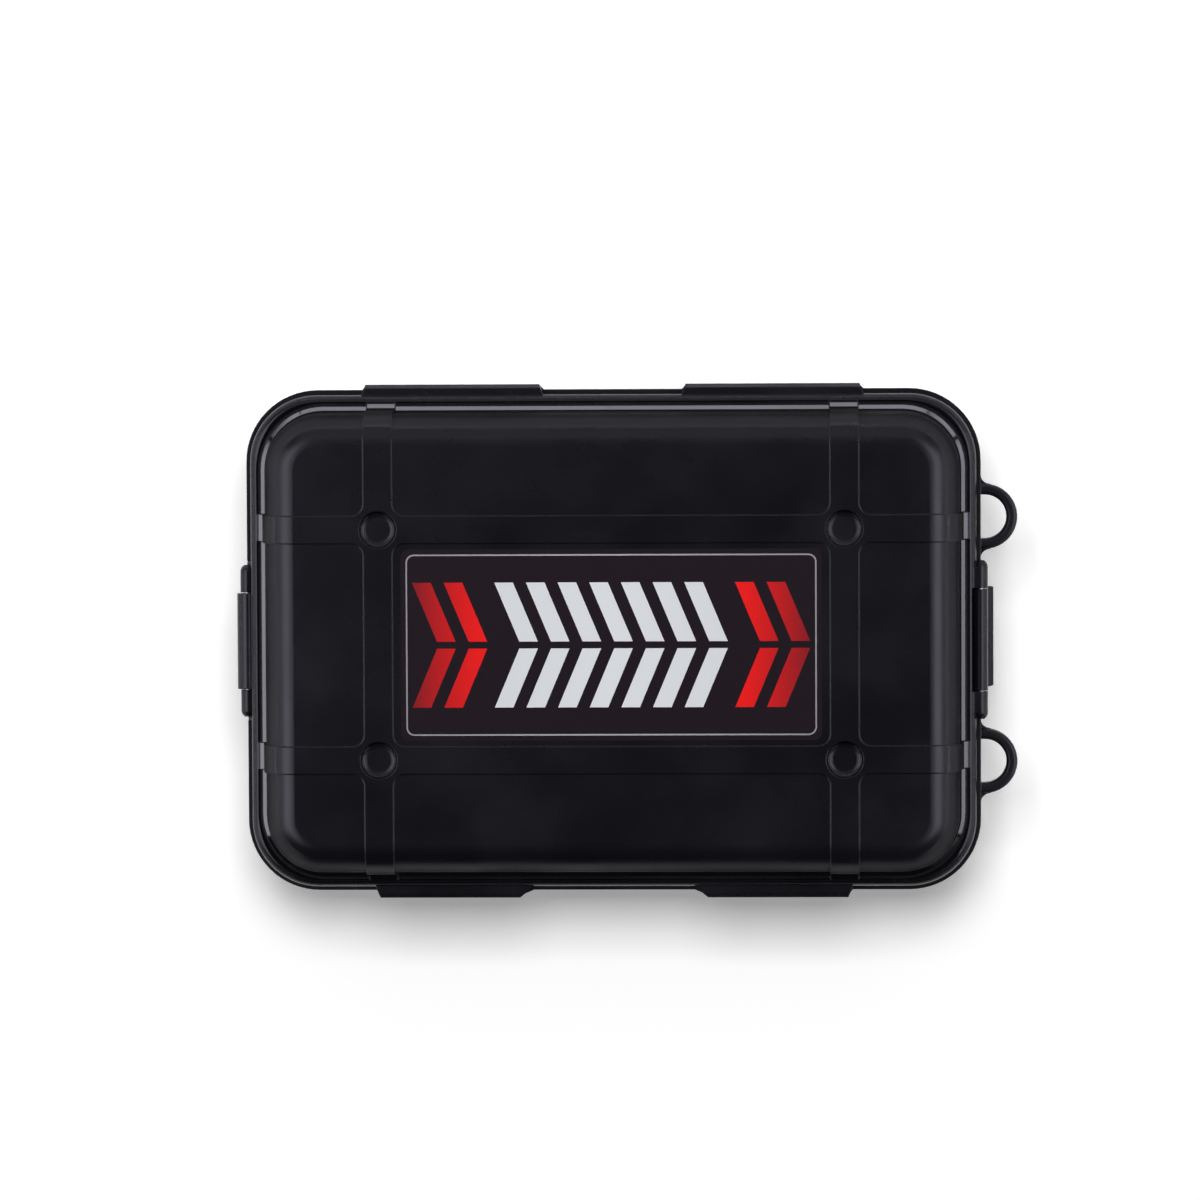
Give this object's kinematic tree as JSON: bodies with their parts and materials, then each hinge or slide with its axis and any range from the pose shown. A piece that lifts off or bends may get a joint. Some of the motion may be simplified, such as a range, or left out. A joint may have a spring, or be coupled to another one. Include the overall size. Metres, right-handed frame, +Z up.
{
  "type": "magnetic key holder box",
  "caption": "Small hinged plastic case with a gasketed lid, snap lever, lanyard loops and screwed-on pot magnets under the base, for hiding keys on steel.",
  "frame": {"origin": "middle of the whole footprint, on the plane of the magnet faces that the box stands on", "axes": "+X from the hinge side to the latch and lanyard side, +Y towards the back long side, +Z up out of the lid"},
  "size_m": [0.1148, 0.0756, 0.0349],
  "materials": {
    "base_plastic": "satin",
    "lid_plastic": "satin",
    "latch_plastic": "satin",
    "gasket_rubber": "matte",
    "pin_steel": "satin",
    "label_film": "satin",
    "liner_foam": "matte",
    "cup_nickel": "polished",
    "ring_nickel": "satin",
    "screw_steel": "satin",
    "washer_rubber": "matte"
  },
  "bodies": {
    "base": {"base_shell": "base_plastic", "hinge_pin": "pin_steel", "base_foam": "liner_foam", "magnet_cup_1": "cup_nickel", "magnet_cup_2": "cup_nickel", "magnet_cup_3": "cup_nickel", "magnet_cup_4": "cup_nickel", "ring_magnet_1": "ring_nickel", "ring_magnet_2": "ring_nickel", "ring_magnet_3": "ring_nickel", "ring_magnet_4": "ring_nickel", "magnet_screws": "screw_steel", "magnet_nuts": "screw_steel", "sealing_washers": "washer_rubber"},
    "lid": {"lid_shell": "lid_plastic", "lid_gasket": "gasket_rubber", "latch_pin": "pin_steel", "label": "label_film", "lid_foam": "liner_foam"},
    "latch": {"latch_lever": "latch_plastic"}
  },
  "joints": [
    {"name": "lid_hinge", "type": "hinge", "parent": "base", "child": "lid", "pos_m": [-0.05585, 0, 0.0225], "axis": [0, -1, 0], "range_deg": [0, 180]},
    {"name": "latch_swing", "type": "hinge", "parent": "lid", "child": "latch", "pos_m": [0.05195, 0, 0.0239], "axis": [0, -1, 0], "range_deg": [0, 110]}
  ]
}
